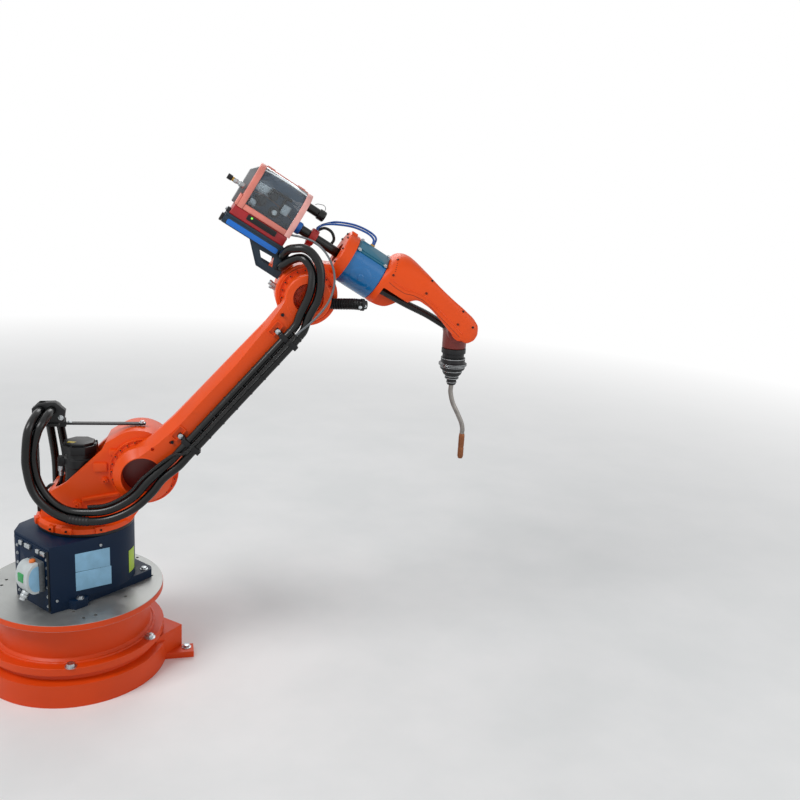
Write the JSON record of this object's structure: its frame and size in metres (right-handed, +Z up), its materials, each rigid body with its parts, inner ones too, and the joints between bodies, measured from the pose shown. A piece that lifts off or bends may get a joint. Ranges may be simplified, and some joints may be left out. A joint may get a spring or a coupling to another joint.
{
  "type": "industrial welding robot arm",
  "caption": "Six-axis welding robot arm on a round flanged plinth, with a long box-section link arm, a hollow forearm, a wire feeder and hose loops.",
  "frame": {"origin": "on the floor, under the first axis, on the flat bottom of the plinth", "axes": "+Z up; +X along the arm's plane at rest, towards the torch; -Y towards the viewer of the picture"},
  "size_m": [2.1944, 0.82, 2.2867],
  "materials": {
    "orange_enamel": "orange semi-gloss enamel",
    "machined_steel": "machined steel",
    "dark_base_enamel": "dark navy enamel",
    "black_enamel": "black satin enamel",
    "zinc_plate": "bright zinc",
    "pale_housing": "pale grey plastic",
    "black_hose_rubber": "black hose",
    "blue_enamel": "glossy blue enamel",
    "teal_enamel": "teal enamel",
    "slate_enamel": "dark slate enamel",
    "red_housing": "dark red plastic",
    "dark_strip": "dark panel",
    "salmon_frame": "salmon plastic",
    "smoky_clear_plastic": "smoky clear plastic",
    "bright_metal": "bright metal",
    "grey_housing": "grey housing",
    "brass": "brass",
    "red_clamp": "red clamp",
    "blue_air_hose": "blue air hose",
    "red_brown_casting": "dark red-brown casting",
    "copper_nozzle": "copper nozzle"
  },
  "bodies": {
    "base": {"plinth_foot": "orange_enamel", "plinth_drum": "orange_enamel", "plinth_top_plate": "machined_steel", "base_frame": "dark_base_enamel", "base_collar": "black_enamel", "connection_panel": "zinc_plate", "connector_housing": "pale_housing", "connector_gland": "zinc_plate"},
    "column": {"rotating_column": "orange_enamel", "a1_motor": "black_enamel", "a1_motor_cap": "black_enamel", "a2_motor": "black_enamel", "a2_gear_ring": "orange_enamel", "hose_bracket": "black_enamel", "hose_strut": "black_enamel", "hose_clamp": "black_enamel", "riser_hose_1": "black_hose_rubber", "riser_hose_2": "black_hose_rubber", "lower_loop_1": "black_hose_rubber", "lower_loop_2": "black_hose_rubber"},
    "link_arm": {"link_arm": "orange_enamel", "arm_hose_1": "black_hose_rubber", "arm_hose_2": "black_hose_rubber", "arm_hose_3": "black_hose_rubber", "lower_hose_clip": "zinc_plate", "upper_hose_clip": "zinc_plate", "upper_loop_1": "black_hose_rubber", "upper_loop_2": "black_hose_rubber"},
    "arm_housing": {"arm_housing": "orange_enamel", "a3_bolt_ring": "orange_enamel", "a3_motor": "black_enamel", "drive_cylinder": "blue_enamel", "cylinder_cover": "teal_enamel", "feeder_bracket": "slate_enamel", "feeder_body": "red_housing", "control_strip": "dark_strip", "feeder_frame": "salmon_frame", "feeder_window": "smoky_clear_plastic", "drive_unit": "bright_metal", "feeder_back_box": "grey_housing", "conduit_coupling": "brass", "torch_tube": "black_hose_rubber", "torch_clamp": "red_clamp", "second_hose": "black_hose_rubber", "air_hose_1": "blue_air_hose", "air_hose_2": "blue_air_hose", "corrugated_hose": "black_hose_rubber"},
    "forearm": {"forearm_casing": "orange_enamel", "torch_cable": "black_hose_rubber"},
    "wrist": {"wrist_body": "red_brown_casting", "wrist_collar": "black_enamel"},
    "torch": {"torch_rings": "black_enamel", "torch_neck": "machined_steel", "torch_nozzle": "copper_nozzle"}
  },
  "joints": [
    {"name": "a1_turn", "type": "hinge", "parent": "base", "child": "column", "pos_m": [0, 0, 0.38], "axis": [0, 0, 1], "range_deg": [-185, 185]},
    {"name": "a2_lean", "type": "hinge", "parent": "column", "child": "link_arm", "pos_m": [0.263, 0, 0.949], "axis": [0, 1, 0], "range_deg": [-105.9, 84.1], "deforming": ["lower_loop_1", "lower_loop_2"]},
    {"name": "a3_fold", "type": "hinge", "parent": "link_arm", "child": "arm_housing", "pos_m": [0.94917, 0, 1.74113], "axis": [0, -1, 0], "range_deg": [-75.3, 208.7], "deforming": ["upper_loop_1", "upper_loop_2"]},
    {"name": "a4_roll", "type": "hinge", "parent": "arm_housing", "child": "forearm", "pos_m": [1.06016, 0, 1.93108], "axis": [0.8634, 0, -0.5045], "range_deg": [-165, 165]},
    {"name": "a5_bend", "type": "hinge", "parent": "forearm", "child": "wrist", "pos_m": [1.64037, 0, 1.59204], "axis": [0, 1, 0], "range_deg": [-189.7, 70.3], "deforming": ["torch_cable"]},
    {"name": "a6_spin", "type": "hinge", "parent": "wrist", "child": "torch", "pos_m": [1.64037, 0, 1.59204], "axis": [0, 0, -1], "range_deg": [-350, 350]}
  ]
}
